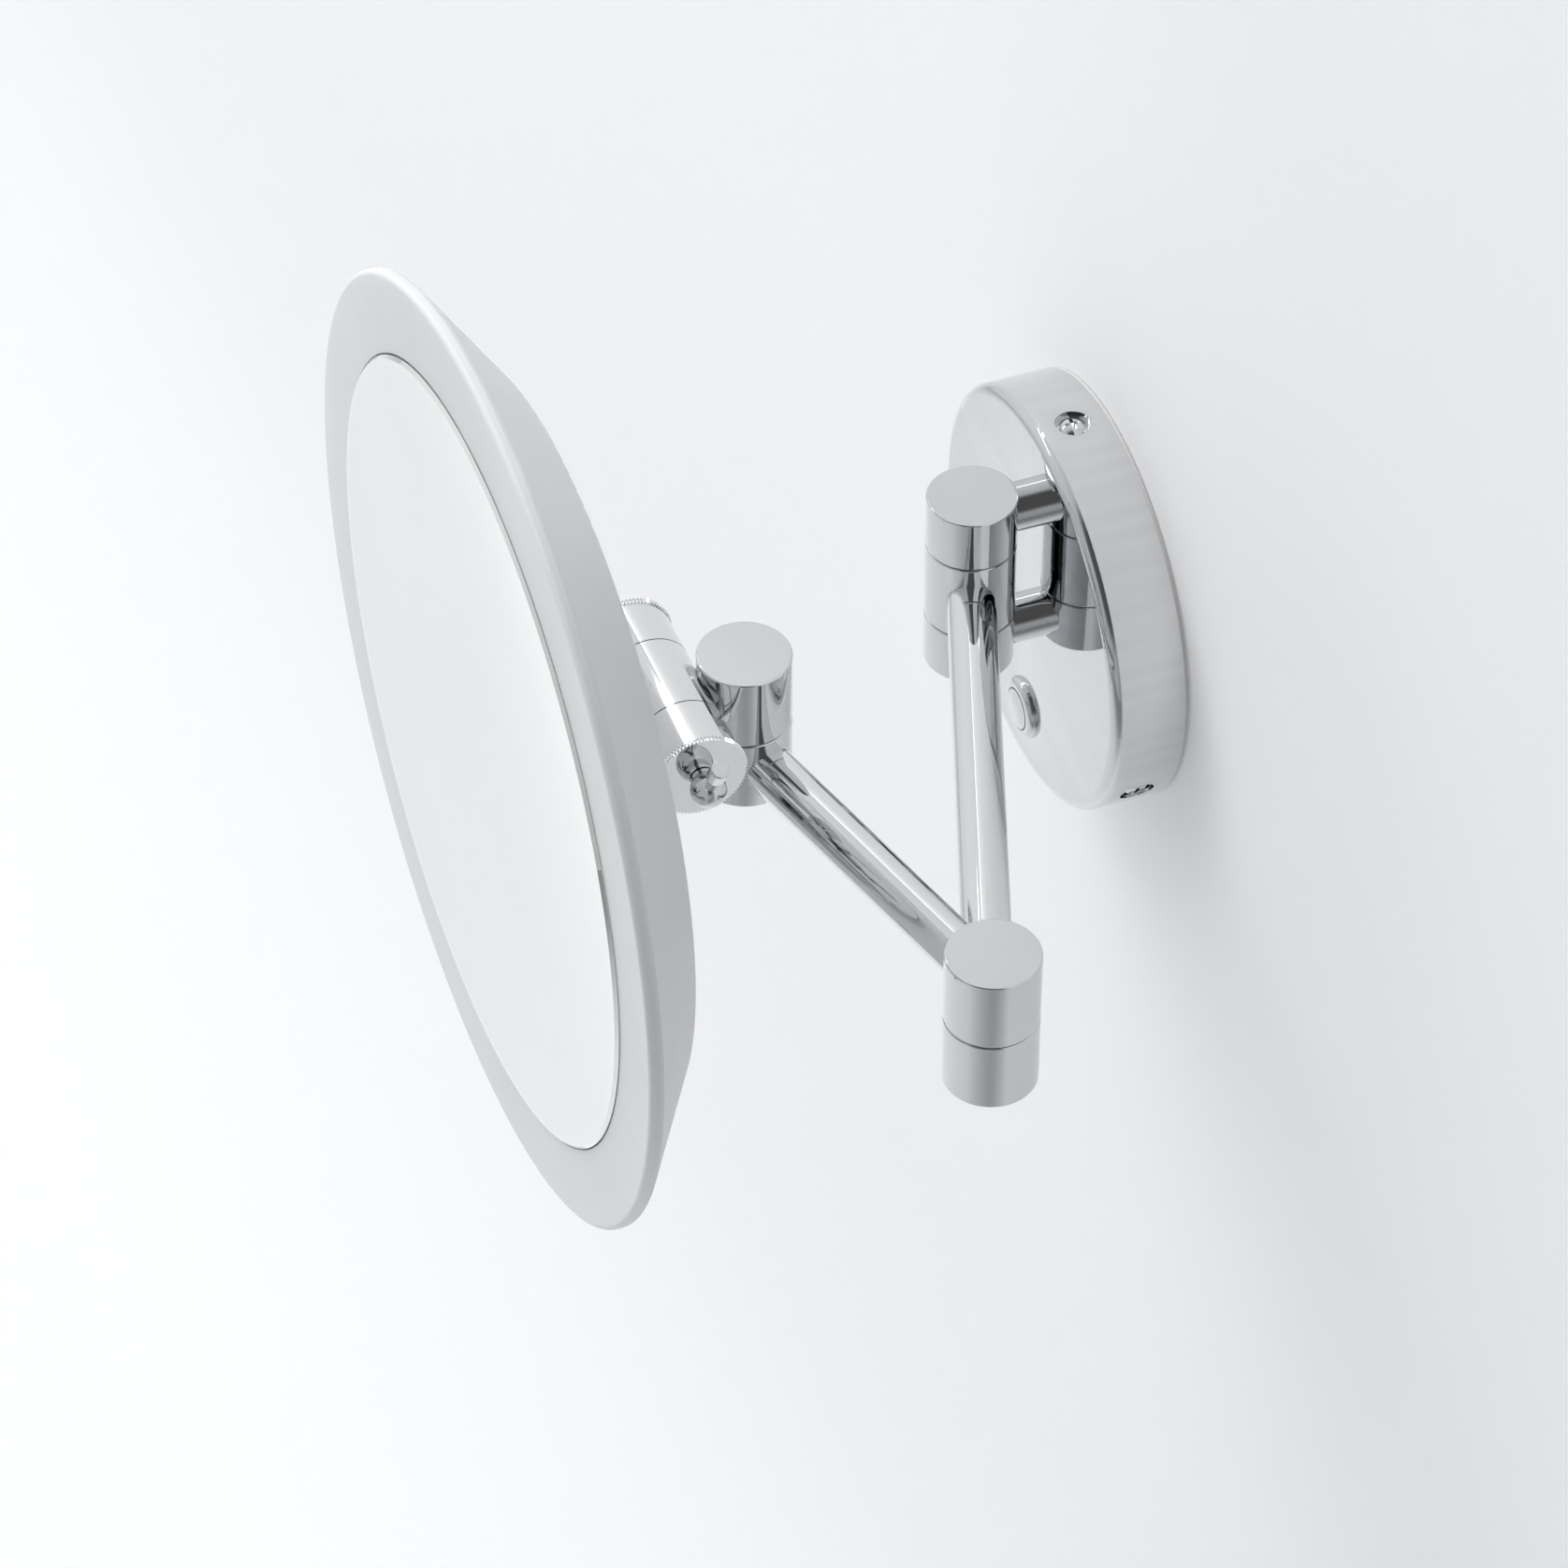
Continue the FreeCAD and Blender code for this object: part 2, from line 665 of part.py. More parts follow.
# ---------------------------------------------------------------- push button and its switch
button_at = ("0", "-plate_thick - switch_gap - switch_thick", BUTTON_Z)
bore = "(button_dia / 2 + button_gap)"
wide_bore = "(button_dia / 2 + button_flange + button_gap)"
flange_low = "(button_travel + 4 * running_gap)"
lip_low = f"({flange_low} + button_flange_thick + running_gap)"
bezel_top = f"({BEZEL_NECK} + bezel_height)"
bezel = [
    (wide_bore, "0"),
    ("bezel_neck_dia / 2", "0"),
    ("bezel_neck_dia / 2", BEZEL_NECK),
    ("bezel_dia / 2", BEZEL_NECK),
    ("bezel_dia / 2", bezel_top),
    (bore, bezel_top),
    (bore, lip_low),
    (wide_bore, lip_low),
]
keep("button_bezel", turned(bezel, button_at, OUT, [("bezel_dia / 2", bezel_top, "bezel_rounding")]))

nut_high = f"({BEZEL_NECK} - cover_wall - stiffener_thick)"
keep("bezel_nut", ring("bezel_neck_dia", "nut_dia", f"{nut_high} - nut_thick", nut_high, button_at, OUT))

switch_at = ("0", "-plate_thick - switch_gap", BUTTON_Z)
switch = rounded_block("switch_width", "switch_width", "switch_thick", "switch_rounding", switch_at, OUT)
keep("button_switch", switch)

cap_top = f"({bezel_top} + button_proud)"
cap_fall = "(button_curve - sqrt(button_curve^2 - (button_dia / 2)^2))"
cap = [
    ("0", flange_low),
    ("button_dia / 2 + button_flange", flange_low),
    ("button_dia / 2 + button_flange", f"{flange_low} + button_flange_thick"),
    ("button_dia / 2", f"{flange_low} + button_flange_thick"),
    ("button_dia / 2", f"{cap_top} - {cap_fall}", "button_curve", -1),
    ("0", cap_top),
]
keep("button_cap", turned(cap, button_at, OUT))

# ---------------------------------------------------------------- inner arm
middle_at = ("0", HINGE_Y, MIDDLE_LOW)
arm_at = ("0", HINGE_Y, "hinge_height")
middle_corners = [
    (f"{BUSH_DIA} / 2", "0"),
    ("knuckle_dia / 2", "0"),
    ("knuckle_dia / 2", "middle_length"),
    (f"{BUSH_DIA} / 2", "middle_length"),
]
middle_rounds = [("knuckle_dia / 2", edge, "edge_rounding") for edge in ("0", "middle_length")]
middle = turned(middle_corners, middle_at, UP, middle_rounds)
side = level_tube("0", "rod_dia", SOCKET, "knuckle_dia", arm_at, "-inner_angle")
keep("wall_knuckle_middle", cut(middle, side))
keep("wall_bush", ring("pin_dia + 2 * pin_clearance", BUSH_DIA, "0", "middle_length", middle_at))
tube_bore = "rod_dia - 2 * tube_wall"
inner_stop = f"inner_length - {SOCKET}"
keep("inner_arm_tube", level_tube(tube_bore, "rod_dia", SOCKET, inner_stop, arm_at, "-inner_angle"))
swivel_lower("elbow", ELBOW, HALF_LOW, "180 - inner_angle")

# ---------------------------------------------------------------- outer arm
pin_reach = "2 * half_length + seam_gap - cap_thick - running_gap"
upper_low = f"({HALF_LOW} + half_length + seam_gap)"
elbow_side = level_tube("0", "rod_dia", SOCKET, "knuckle_dia", (*ELBOW, OUTER_Z), "180 + outer_angle")
keep("elbow_knuckle_upper", cut(upper_knuckle("half_length", (*ELBOW, upper_low)), elbow_side))
keep("elbow_pin", hinge_pin(PIN_HEAD_LOW, pin_reach, (*ELBOW, HALF_LOW)))
outer_stop = f"outer_length - {SOCKET}"
outer_at = (*ELBOW, OUTER_Z)
keep("outer_arm_tube", level_tube(tube_bore, "rod_dia", SOCKET, outer_stop, outer_at, "180 + outer_angle"))
swivel_lower("wrist", WRIST, upper_low, "outer_angle")

# ---------------------------------------------------------------- yoke of the head: wrist and tilt barrel
yoke_low = f"({upper_low} + half_length + seam_gap)"
stud_start = (WRIST_X, f"{WRIST_Y} - joining_stud_inset", HEAD_Z)
stud_length = f"yoke_reach - {TILT_BUSH_DIA} / 2 - joining_stud_inset - running_gap"
wrist_top = upper_knuckle("half_length", (*WRIST, yoke_low))
keep("wrist_knuckle_upper", cut(wrist_top, bar("joining_stud_dia", stud_length, stud_start, OUT)))
keep("wrist_pin", hinge_pin(PIN_HEAD_LOW, pin_reach, (*WRIST, upper_low)))
keep("yoke_stud", bar("joining_stud_dia", stud_length, stud_start, OUT))

tilt_middle = ring(TILT_BUSH_DIA, "tilt_dia", "-middle_length / 2", "middle_length / 2", TILT, RIGHT)
cope = bar("knuckle_dia", "2 * half_length", (*WRIST, f"{yoke_low} - half_length / 2"))
stud_hole = bar("joining_stud_dia", stud_length, stud_start, OUT)
keep("tilt_barrel_middle", cut(tilt_middle, cope, stud_hole))
tilt_bore = "shaft_dia + 2 * pin_clearance"
keep("tilt_bush", ring(tilt_bore, TILT_BUSH_DIA, "-middle_length / 2", "middle_length / 2", TILT, RIGHT))
tilt_washers = [seam_washer("shaft_dia", "middle_length / 2", TILT, turn) for turn in (RIGHT, LEFT)]
keep("tilt_washers", group(tilt_washers))

# ---------------------------------------------------------------- tilt barrel ends, rods and clamp shaft
rod_seats = [
    (f"{WRIST_X} + {side} * {HEAD_ROD_SIDE}", f"{TILT_Y} - {TILT_SOCKET}", HEAD_Z) for side in ("1", "-1")
]
for label, turn, seat in (("right", RIGHT, rod_seats[0]), ("left", LEFT, rod_seats[1])):
    section = ring("shaft_dia", "tilt_dia", f"{TILT_HALF} - {TILT_END}", TILT_HALF, TILT, turn)
    keep("tilt_barrel_" + label, cut(section, bar("rod_dia", "knuckle_dia", seat, OUT)))

shaft = [
    ("0", f"-{TILT_HALF} - disc_thick"),
    ("stud_dia / 2", f"-{TILT_HALF} - disc_thick"),
    ("stud_dia / 2", f"-{TILT_HALF}"),
    ("shaft_dia / 2", f"-{TILT_HALF}"),
    ("shaft_dia / 2", TILT_HALF),
    ("stud_dia / 2", TILT_HALF),
    ("stud_dia / 2", f"{TILT_HALF} + disc_thick + ball_reach + stud_past_ball"),
    ("0", f"{TILT_HALF} + disc_thick + ball_reach + stud_past_ball"),
]
keep("tilt_shaft", turned(shaft, TILT, RIGHT))


def toothed_disc():
    """A thin end disc with a fine toothed edge, from its own Z = 0."""
    body = doc.addObject("PartDesign::Body", "toothed")
    spin = body.newObject("PartDesign::Revolution", "spin")
    outer = "tilt_dia / 2 + tooth_height"
    corners = [("stud_dia / 2", "0"), (outer, "0"), (outer, "disc_thick"), ("stud_dia / 2", "disc_thick")]
    spin.Profile = outline_sketch(body, "XZ_Plane", corners)
    spin.ReferenceAxis = (spin.Profile[0], ["V_Axis"])
    spin.Angle = 360
    half = "(tilt_dia * tan(180 / tooth_count) / 2)"
    notch = body.newObject("PartDesign::Pocket", "notch")
    above = "tilt_dia / 2 + 2 * tooth_height"
    corners = [("0", "tilt_dia / 2"), (f"2 * {half}", above), (f"-2 * {half}", above)]
    notch.Profile = outline_sketch(body, "XY_Plane", corners)
    notch.Reversed = True
    notch.Type = "ThroughAll"
    around = body.newObject("PartDesign::PolarPattern", "teeth")
    around.Originals = [notch]
    around.Axis = (spin.Profile[0], ["V_Axis"])
    around.Angle = 360
    drive(around, "Occurrences", "tooth_count")
    body.Tip = around
    return body


toothed = []
for side, turn in (("+", RIGHT), ("-", LEFT)):
    toothed.append(place(toothed_disc(), (f"{WRIST_X} {side} {TILT_HALF}", TILT_Y, HEAD_Z), turn))
keep("tilt_end_discs", group(toothed))

head_bite = f"(0.7 * (hinge_reach - {TILT_SOCKET}))"
head_rods = []
rod_screws = []
for side, seat in zip(("1", "-1"), rod_seats):
    across = f"{WRIST_X} + {side} * {HEAD_ROD_SIDE}"
    foot = (across, f"{TILT_Y} - hinge_reach", HEAD_Z)
    rod = bar("rod_dia", f"hinge_reach - {TILT_SOCKET}", foot, IN)
    head_rods.append(cut(rod, bar("rod_screw_dia", f"{head_bite} + 0.5", foot, IN)))
    under = (across, f"{TILT_Y} - hinge_reach - cover_wall - hat_wall", HEAD_Z)
    length = f"cover_wall + hat_wall + {head_bite}"
    rod_screws.append(screw("rod_screw_dia", length, "rod_head_dia", "rod_head_thick", under, OUT))
keep("head_rods", group(head_rods))
keep("head_rod_screws", group(rod_screws))

# ---------------------------------------------------------------- ball knob with its lever
ball_x = f"({WRIST_X} + {TILT_HALF} + disc_thick + ball_reach)"
ball_at = (ball_x, TILT_Y, HEAD_Z)
lean = Rotation(Vector(0, 1, 0), 30)
sphere = doc.addObject("Part::Sphere", "ball")
drive(sphere, "Radius", "ball_dia / 2")
place(sphere, ball_at)
neck_start = (f"{ball_x} - ball_reach + seam_gap", TILT_Y, HEAD_Z)
neck = bar("neck_dia", "ball_reach - seam_gap", neck_start, RIGHT)
stud_bore_start = (f"{ball_x} - 2 * ball_reach", TILT_Y, HEAD_Z)
stud_bore_length = "2 * ball_reach + stud_past_ball + seam_gap"
stud_bore = bar("stud_dia + 2 * pin_clearance", stud_bore_length, stud_bore_start, RIGHT)
root = "(stud_dia / 2 + lever_seat)"
socket = disc("lever_root_dia", root, "ball_dia", ball_at, lean)
keep("knob_ball", cut(fused(sphere, neck), stud_bore, socket))
lever = [
    ("0", root),
    ("lever_root_dia / 2", root),
    ("lever_root_dia / 2", "ball_dia / 2 + 1"),
    ("lever_tip_dia / 2", "lever_length - lever_tip_length"),
    ("lever_tip_dia / 2", "lever_length"),
    ("0", "lever_length"),
]
keep("knob_lever", turned(lever, ball_at, lean, [("lever_tip_dia / 2", "lever_length", "lever_rounding")]))

# ---------------------------------------------------------------- back of the mirror head
hat_high = "(cup_depth - cover_wall)"
hat = [
    ("0", hat_high),
    ("0", f"{hat_high} - hat_wall"),
    (f"{HAT_R} - hat_wall", f"{hat_high} - hat_wall"),
    (f"{HAT_R} - hat_wall", "0"),
    (f"{HAT_R} + hat_brim", "0"),
    (f"{HAT_R} + hat_brim", "hat_wall"),
    (HAT_R, "hat_wall"),
    (HAT_R, hat_high),
]
head_centre = (WRIST_X, HEAD_Z)


def crown_holes():
    """Screw holes through the cup and the stiffener behind it, one in line with each rod."""
    hole = "rod_screw_dia + 2 * screw_clearance"
    start = f"{TILT_Y} - hinge_reach - cup_depth"
    sides = [f"{WRIST_X} + {side} * {HEAD_ROD_SIDE}" for side in ("1", "-1")]
    return [bar(hole, "2 * cup_depth", (across, start, HEAD_Z), IN) for across in sides]


def circle_tools(dia, radius, count, y, length):
    """Round tools along Y on a circle about the head's axis."""
    turns = [360 / count * (index + 0.5) for index in range(count)]
    return [bar(dia, length, round_place(angle, radius, y, head_centre), IN) for angle in turns]


brim_hole_r = f"{HAT_R} + hat_brim / 2"
foot_hole_r = f"{DRUM_R} - drum_foot / 2"
keep("head_cup", cut(cup("cup_dia", "cup_depth", HEAD_BACK, IN), *crown_holes()))
brim_threads = circle_tools("small_screw_dia", brim_hole_r, 4, f"{BACK_Y} - hat_wall", "3 * hat_wall")
keep("head_stiffener", cut(turned(hat, HEAD_BACK, IN), *crown_holes(), *brim_threads))

back_dish = [
    ("0", "-head_depth"),
    (BACK_PLATE_R, "-head_depth"),
    (BACK_PLATE_R, "acrylic_wall - head_depth"),
    (f"{LEDGE_R} - back_plate_gap", "acrylic_wall - head_depth"),
    (f"{LEDGE_R} - back_plate_gap", "acrylic_wall + back_flange_thick - head_depth"),
    (f"{BACK_PLATE_R} - back_plate_thick", "acrylic_wall + back_flange_thick - head_depth"),
    (f"{BACK_PLATE_R} - back_plate_thick", f"-{PLATE_FRONT}"),
    ("0", f"-{PLATE_FRONT}"),
]
loose = "small_screw_dia + 2 * screw_clearance"
plate_holes = circle_tools(loose, brim_hole_r, 4, f"{BACK_Y} - 2 * back_plate_thick", "3 * back_plate_thick")
plate_holes += circle_tools(loose, foot_hole_r, 6, f"{BACK_Y} - 2 * back_plate_thick", "3 * back_plate_thick")
keep("back_plate", cut(turned(back_dish, HEAD_FRONT, OUT), *plate_holes))

small = ("small_screw_dia", "small_screw_length", "small_head_dia", "small_head_thick")
brim_screws = []
for index in range(4):
    at = round_place(90 * (index + 0.5), brim_hole_r, f"{BACK_Y} - back_plate_thick", head_centre)
    brim_screws.append(screw(*small, at, OUT))
keep("stiffener_screws", group(brim_screws))
foot_screws = []
for index in range(6):
    at = round_place(60 * (index + 0.5), foot_hole_r, BACK_Y, head_centre)
    foot_screws.append(screw(*small, at, IN))
keep("back_screws", group(foot_screws))

# ---------------------------------------------------------------- light drum
drum = [
    ("0", f"-{DRUM_DEPTH}"),
    ("0", f"-{DRUM_DEPTH} - drum_wall"),
    (f"{DRUM_R} - drum_wall", f"-{DRUM_DEPTH} - drum_wall"),
    (f"{DRUM_R} - drum_wall", f"drum_wall - {PLATE_FRONT}"),
    (f"{DRUM_R} - drum_foot", f"drum_wall - {PLATE_FRONT}"),
    (f"{DRUM_R} - drum_foot", f"-{PLATE_FRONT}"),
    (DRUM_R, f"-{PLATE_FRONT}"),
    (DRUM_R, f"-{DRUM_DEPTH}"),
]
foot_high = f"{BACK_Y} - back_plate_thick - 2 * drum_wall"
foot_threads = circle_tools("small_screw_dia", foot_hole_r, 6, foot_high, "3 * drum_wall")
keep("carrier_drum", cut(turned(drum, HEAD_FRONT, OUT), *foot_threads))

strip_low = f"(2 * drum_wall - {PLATE_FRONT})"
strip_high = f"(-{DRUM_DEPTH} - drum_wall)"
strip_bore = f"2 * {DRUM_R}"
keep("led_strip", ring(strip_bore, f"{strip_bore} + 2 * strip_thick", strip_low, strip_high, HEAD_FRONT, OUT))
LED_COUNT = 24
leds = []
for index in range(LED_COUNT):
    middle_y = f"({FRONT_Y} - ({strip_low} + {strip_high}) / 2)"
    angle = 360 / LED_COUNT * (index + 0.5)
    out = f"{DRUM_R} + strip_thick"
    at = round_place(angle, out, f"{middle_y} - led_size / 2", head_centre, "-led_size / 2")
    leds.append(block("led_size", "led_size", "led_thick", at, spoke(angle)))
keep("led_chips", group(leds))

# ---------------------------------------------------------------- glass, its pad and the lit acrylic shell
pad_outer = f"({DRUM_R} - 2)"
pad_inner = f"({DRUM_R} - 2 - pad_width)"
glass_back = f"(-{SEAT_DEPTH} - {sag(SEAT_R)})"
pad = [
    (pad_inner, f"-{DRUM_DEPTH}"),
    (pad_outer, f"-{DRUM_DEPTH}"),
    (pad_outer, f"{glass_back} + {sag(pad_outer)}", "glass_curve", 1),
    (pad_inner, f"{glass_back} + {sag(pad_inner)}"),
]
keep("glass_pad", turned(pad, HEAD_FRONT, OUT))

polished_r = f"({GLASS_R} - glass_bevel)"
glass = [
    ("0", glass_back, "glass_curve", -1),
    (SEAT_R, f"-{SEAT_DEPTH}"),
    (GLASS_R, f"-{SEAT_DEPTH}"),
    (GLASS_R, "glass_proud - glass_bevel"),
    (polished_r, "glass_proud", "glass_curve", 1),
    ("0", f"glass_proud - {sag(polished_r)}"),
]
keep("mirror_glass", turned(glass, HEAD_FRONT, OUT))

diffuser = [
    (f"{GLASS_R} + glass_gap", "0"),
    (HEAD_R, "0"),
    (HEAD_R, "-rim_thick"),
    (BACK_R, "-head_depth"),
    (f"{BACK_R} - back_lip", "-head_depth"),
    (f"{BACK_R} - back_lip", "acrylic_wall - head_depth"),
    (LEDGE_R, "acrylic_wall - head_depth"),
    (f"{HEAD_R} + {SLOPE} * (rim_thick - acrylic_wall) - {CONE_SHIFT}", "-acrylic_wall"),
    (f"{GLASS_R} + glass_gap + acrylic_wall", "-acrylic_wall"),
    (f"{GLASS_R} + glass_gap + acrylic_wall", f"-{SEAT_DEPTH} - acrylic_wall"),
    (SEAT_R, f"-{SEAT_DEPTH} - acrylic_wall"),
    (SEAT_R, f"-{SEAT_DEPTH}"),
    (f"{GLASS_R} + glass_gap", f"-{SEAT_DEPTH}"),
]
diffuser_rounds = [
    (HEAD_R, "0", "rim_rounding"),
    (HEAD_R, "-rim_thick", "rim_rounding"),
    (BACK_R, "-head_depth", "back_rounding"),
]
keep("diffuser_shell", turned(diffuser, HEAD_FRONT, OUT, diffuser_rounds))

# ---------------------------------------------------------------- check and write
doc.recompute()
for item in doc.Objects:
    if any(word in item.State for word in ("Invalid", "Error")):
        raise RuntimeError(f"{item.Label} did not compute: {item.State}")
os.makedirs("parts", exist_ok=True)
for label, item in nodes.items():
    shape = item.Shape
    if shape.isNull() or not shape.isValid() or not shape.Solids:
        raise RuntimeError(f"{label} has no sound shape")
    shape.exportStep(f"parts/{label}.step")
print(len(nodes), "sub-parts written")
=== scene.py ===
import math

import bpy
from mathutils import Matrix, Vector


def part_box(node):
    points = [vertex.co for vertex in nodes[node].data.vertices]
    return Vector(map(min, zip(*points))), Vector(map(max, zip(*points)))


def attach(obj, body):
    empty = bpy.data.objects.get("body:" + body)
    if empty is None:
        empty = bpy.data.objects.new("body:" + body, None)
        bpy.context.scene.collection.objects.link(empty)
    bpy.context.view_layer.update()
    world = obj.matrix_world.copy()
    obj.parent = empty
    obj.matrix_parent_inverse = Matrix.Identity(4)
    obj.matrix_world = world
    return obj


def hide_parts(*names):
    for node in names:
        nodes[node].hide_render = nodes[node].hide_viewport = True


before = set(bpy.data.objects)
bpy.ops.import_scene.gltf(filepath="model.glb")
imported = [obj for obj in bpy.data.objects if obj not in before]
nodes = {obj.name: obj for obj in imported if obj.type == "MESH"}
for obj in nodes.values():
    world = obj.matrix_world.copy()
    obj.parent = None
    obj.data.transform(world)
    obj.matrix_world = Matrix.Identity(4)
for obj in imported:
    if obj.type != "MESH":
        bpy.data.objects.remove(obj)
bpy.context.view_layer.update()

# %% [markdown]
# # An extendable shaving mirror in chrome, acrylic and glass
# The model that comes in here is the measured frame: every turned barrel, tube and screw is already in its place,
# in metres. What is left is what a finisher and a photographer do. Each piece gets its surface, and then the whole
# mirror is set on a wall under soft light.

# %% [markdown]
# ## The camera
# A long lens from high on the right looks down along the wall, so round parts show as narrow ellipses. A camera can
# be aimed with a constraint, but here its two angles are known, so its axes are written straight into a matrix: the
# back of the camera, its right side and its top.

# %% Camera
VIEW_AROUND, VIEW_UP = math.radians(69.06), math.radians(43.93)
CAMERA_PLACE = (1.22927, -0.56149, 1.22492)
LENS_MM, FILM_MM = 158.3, 36
SHIFT_RIGHT, SHIFT_UP = 0.0032, -0.0008
FARTHEST_SEEN = 50
backward = Vector(
    (
        math.sin(VIEW_AROUND) * math.cos(VIEW_UP),
        -math.cos(VIEW_AROUND) * math.cos(VIEW_UP),
        math.sin(VIEW_UP),
    )
)
rightward = Vector((math.cos(VIEW_AROUND), math.sin(VIEW_AROUND), 0))
upward = backward.cross(rightward)
camera_data = bpy.data.cameras.new("long_lens")
camera_data.lens = LENS_MM
camera_data.sensor_width = FILM_MM
camera_data.shift_x = SHIFT_RIGHT
camera_data.shift_y = SHIFT_UP
camera_data.clip_end = FARTHEST_SEEN
camera = bpy.data.objects.new("long_lens", camera_data)
bpy.context.scene.collection.objects.link(camera)
turn = Matrix((rightward, upward, backward)).transposed()
camera.matrix_world = Matrix.Translation(CAMERA_PLACE) @ turn.to_4x4()
bpy.context.scene.camera = camera
print("camera", round(camera_data.lens, 1), "mm at", [round(value, 3) for value in camera.location])

# %% [markdown]
# ## A shelf of finishes
# Most of the finishes here are the same kind of recipe: a shader, a roughness that wanders a little, as every wiped
# or handled surface has, a bump too fine to see as a shape, and edges that catch a bit more light where the plating
# or the paint is thinner. One helper wires that recipe, and each finish then sets its own numbers. The wear is found
# with the pointiness of the mesh, which is high on sharp outer edges. Numbers that are the same all over a surface
# are typed on the shader itself, and only what changes from place to place is wired in.

# %% Helper: an empty finish
def new_finish(name):
    """A node material with only its shader and output."""
    finish = bpy.data.materials.new(name)
    finish.use_nodes = True
    tree = finish.node_tree
    tree.nodes.clear()
    shader = tree.nodes.new("ShaderNodeBsdfPrincipled")
    output = tree.nodes.new("ShaderNodeOutputMaterial")
    tree.links.new(shader.outputs["BSDF"], output.inputs["Surface"])
    return finish, tree, shader


# %% Helpers: noise, ranges and colours
# a colour mix takes its two colours at sockets 6 and 7, and gives the result at socket 2
FIRST, SECOND, MIXED = 6, 7, 2


def cloud(tree, scale, detail, stretch=(1, 1, 1)):
    """Soft noise in the object's own metres, which can be stretched to look brushed."""
    place = tree.nodes.new("ShaderNodeTexCoord")
    size = tree.nodes.new("ShaderNodeMapping")
    size.inputs["Scale"].default_value = stretch
    noise = tree.nodes.new("ShaderNodeTexNoise")
    noise.inputs["Scale"].default_value = scale
    noise.inputs["Detail"].default_value = detail
    tree.links.new(place.outputs["Object"], size.inputs["Vector"])
    tree.links.new(size.outputs["Vector"], noise.inputs["Vector"])
    return noise.outputs["Fac"]


def between(tree, value, low, high, from_low=0.3, from_high=0.7):
    """The value, spread from one range onto another and held there."""
    spread = tree.nodes.new("ShaderNodeMapRange")
    spread.inputs["From Min"].default_value = from_low
    spread.inputs["From Max"].default_value = from_high
    spread.inputs["To Min"].default_value = low
    spread.inputs["To Max"].default_value = high
    tree.links.new(value, spread.inputs["Value"])
    return spread.outputs["Result"]


def tint(tree, amount, under, colour, way="MIX"):
    """The colour under, typed or from a socket, taken towards another colour by the amount."""
    mix = tree.nodes.new("ShaderNodeMix")
    mix.data_type = "RGBA"
    mix.blend_type = way
    mix.inputs[SECOND].default_value = (*colour, 1)
    tree.links.new(amount, mix.inputs[0])
    if isinstance(under, bpy.types.NodeSocket):
        tree.links.new(under, mix.inputs[FIRST])
    else:
        mix.inputs[FIRST].default_value = (*under, 1)
    return mix.outputs[MIXED]


def stops(ramp, shades):
    """Set a colour ramp to these shades, each a very slightly blue grey."""
    while len(ramp.color_ramp.elements) < len(shades):
        ramp.color_ramp.elements.new(0.5)
    for element, (place, shade) in zip(ramp.color_ramp.elements, shades):
        element.position = place
        element.color = (shade * 0.985, shade * 0.99, shade, 1)


# %% Helper: the shared recipe
DULLEST_PATCH = 0.94
WEAR_FROM, WEAR_TO = 0.52, 0.60


def surface_recipe(name, colour, worn, metal, rough, scale, bump_depth, bump_scale, stretch=(1, 1, 1)):
    """The shared recipe: wandering colour and roughness, fine bump in metres, lighter edges."""
    finish, tree, shader = new_finish(name)
    shader.inputs["Metallic"].default_value = metal
    drift = between(tree, cloud(tree, scale, 4, stretch), 0, 1)
    body = tint(tree, drift, colour, [value * DULLEST_PATCH for value in colour])
    sharpness = tree.nodes.new("ShaderNodeNewGeometry").outputs["Pointiness"]
    edges = between(tree, sharpness, 0, 1, WEAR_FROM, WEAR_TO)
    tree.links.new(tint(tree, edges, body, worn), shader.inputs["Base Color"])
    wander = cloud(tree, scale * 3, 5, stretch)
    tree.links.new(between(tree, wander, *rough), shader.inputs["Roughness"])
    bump = tree.nodes.new("ShaderNodeBump")
    bump.inputs["Strength"].default_value = 1.0
    bump.inputs["Distance"].default_value = bump_depth
    tree.links.new(cloud(tree, bump_scale, 2, stretch), bump.inputs["Height"])
    tree.links.new(bump.outputs["Normal"], shader.inputs["Normal"])
    return finish


def wear(finish, *names):
    """Give a finish to pieces of the frame, in place of the plain one they came with."""
    for name in names:
        mesh = nodes[name].data
        mesh.materials.clear()
        mesh.materials.append(finish)
    print(finish.name, "on", len(names), "pieces")


# %% [markdown]
# ## Polished chrome
# The arm, barrels, covers and button are brass or steel, buffed and plated with nickel and chrome. Chrome has almost
# no look of its own: it is a dark, slightly blue mirror. So its colour is a cool grey well below white, its roughness
# is close to none, with a faint haze in patches where it has been wiped, and its bump is under a micron of polish
# drag that only shows in the sharpest highlights.

# %% Chrome
chrome = surface_recipe(
    "polished_chrome",
    colour=(0.66, 0.67, 0.685),
    worn=(0.74, 0.745, 0.75),
    metal=1.0,
    rough=(0.018, 0.05),
    scale=22,
    bump_depth=0.6e-6,
    bump_scale=380,
)
wear(
    chrome,
    "wall_cover",
    "bracket_rods",
    "wall_knuckle_top",
    "wall_knuckle_bottom",
    "wall_knuckle_middle",
    "wall_barrel_plug",
    "button_bezel",
    "button_cap",
    "inner_arm_tube",
    "elbow_knuckle_lower",
    "elbow_knuckle_upper",
    "elbow_plug",
    "outer_arm_tube",
    "wrist_knuckle_lower",
    "wrist_knuckle_upper",
    "wrist_plug",
    "tilt_barrel_middle",
    "tilt_barrel_right",
    "tilt_barrel_left",
    "tilt_end_discs",
    "head_rods",
    "head_cup",
    "knob_ball",
    "knob_lever",
    "rim_screws",
)

